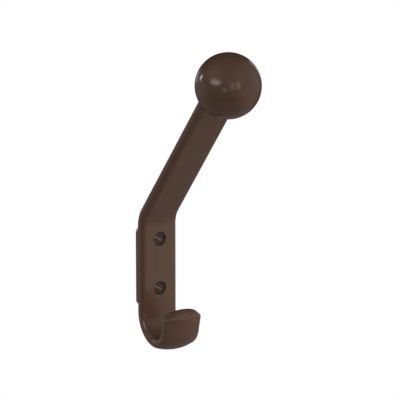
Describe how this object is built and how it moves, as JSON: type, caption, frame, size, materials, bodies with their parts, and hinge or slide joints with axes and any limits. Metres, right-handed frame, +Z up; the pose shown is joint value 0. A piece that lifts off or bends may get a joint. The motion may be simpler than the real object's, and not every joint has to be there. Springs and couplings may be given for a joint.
{
  "type": "coat hook",
  "caption": "Moulded wall hook for hats and coats: a flat strap bent out to a ball-ended arm above and a domed J-shaped hook below, held by recessed countersunk screws.",
  "frame": {"origin": "on the back face of the wall pad, midway between the two screws", "axes": "+Z up along the wall, +Y into the wall, so that the front faces -Y, and X across the strap's width"},
  "size_m": [0.04, 0.1193, 0.1982],
  "materials": {
    "brown_plastic": "moulded dark brown with a soft gloss",
    "brown_screw": "brown lacquered steel"
  },
  "bodies": {
    "root": {"hook_body": "brown_plastic", "wall_screws": "brown_screw"}
  },
  "joints": []
}
